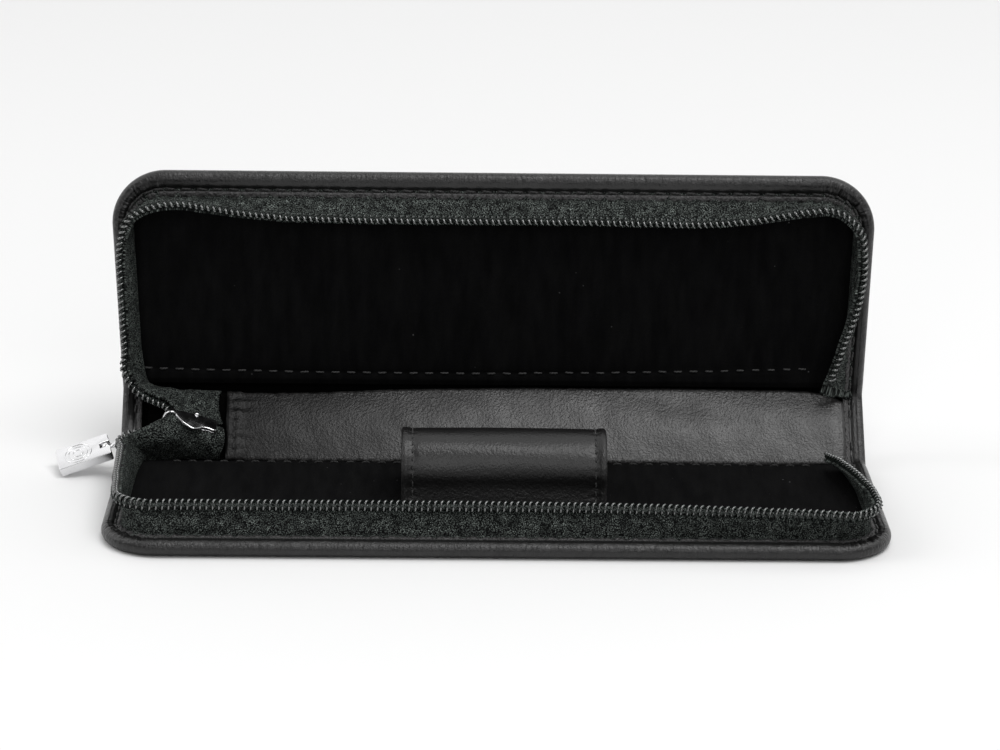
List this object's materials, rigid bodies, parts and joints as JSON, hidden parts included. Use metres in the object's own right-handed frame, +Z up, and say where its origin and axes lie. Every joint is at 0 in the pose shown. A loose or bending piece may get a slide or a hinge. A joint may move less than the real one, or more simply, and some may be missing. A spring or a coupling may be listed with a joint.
{
  "type": "fountain pen case",
  "caption": "Zip-round leather case standing open: velvet-lined base and lid on a folding spine, a pen loop on the base, and a coil zip with slider and pull at the left end.",
  "frame": {"origin": "centre of the base panel's underside, on the surface that the case stands on", "axes": "+X left to right along the case, +Y from the zip edge to the spine, +Z up"},
  "size_m": [0.1723, 0.0684, 0.0599],
  "materials": {
    "leather": "smooth nappa, semi-matt",
    "strip_leather": "fine grain",
    "velvet": "short pile velvet",
    "zip_tape": "woven polyester tape",
    "zip_coil": "nylon monofilament",
    "thread": "twisted thread",
    "board": "greyboard",
    "metal": "polished, silver colour"
  },
  "bodies": {
    "base": {"base_cover": "leather", "base_board": "board", "base_lining": "velvet", "base_zip_tape": "zip_tape", "base_zip_coil": "zip_coil", "base_edge_stitching": "thread", "base_lining_stitching": "thread", "pen_loop": "leather", "pen_loop_lining": "leather", "pen_loop_stitching": "thread"},
    "spine": {"spine_cover": "leather", "spine_stiffener": "board", "spine_strip": "strip_leather", "spine_strip_stitching": "thread", "spine_edge_stitching": "thread", "zip_tail_tape": "zip_tape", "zip_tail_coil": "zip_coil"},
    "lid": {"lid_cover": "leather", "lid_board": "board", "lid_lining": "velvet", "lid_zip_tape": "zip_tape", "lid_zip_coil": "zip_coil", "lid_edge_stitching": "thread", "lid_lining_stitching": "thread"},
    "slider": {"slider_body": "metal", "slider_bridge": "metal"},
    "link": {"pull_link": "metal"},
    "tab": {"pull_tab": "metal", "pull_pin": "metal"}
  },
  "joints": [
    {"name": "base_spine_fold", "type": "hinge", "parent": "base", "child": "spine", "pos_m": [0, 0.0235, 0.0016], "axis": [1, 0, 0], "range_deg": [-41, 49]},
    {"name": "spine_lid_fold", "type": "hinge", "parent": "spine", "child": "lid", "pos_m": [0, 0.03678, 0.01315], "axis": [1, 0, 0], "range_deg": [-41, 49]},
    {"name": "slider_travel", "type": "slide", "parent": "spine", "child": "slider", "axis": [-0.9397, -0.1, 0.3271], "range_m": [0, 0.002]},
    {"name": "link_swing", "type": "hinge", "parent": "slider", "child": "link", "pos_m": [-0.06817, 0.02592, 0.00869], "axis": [-0.2956, 0.9269, 0.2311], "range_deg": [0, 30]},
    {"name": "tab_swing", "type": "hinge", "parent": "link", "child": "tab", "pos_m": [-0.0813, 0.0226, 0.0052], "axis": [-0.2079, 0.9491, 0.2366], "range_deg": [0, 90]}
  ],
  "couplings": [
    {"joint": "spine_lid_fold", "follows": "base_spine_fold", "ratio": 1}
  ]
}
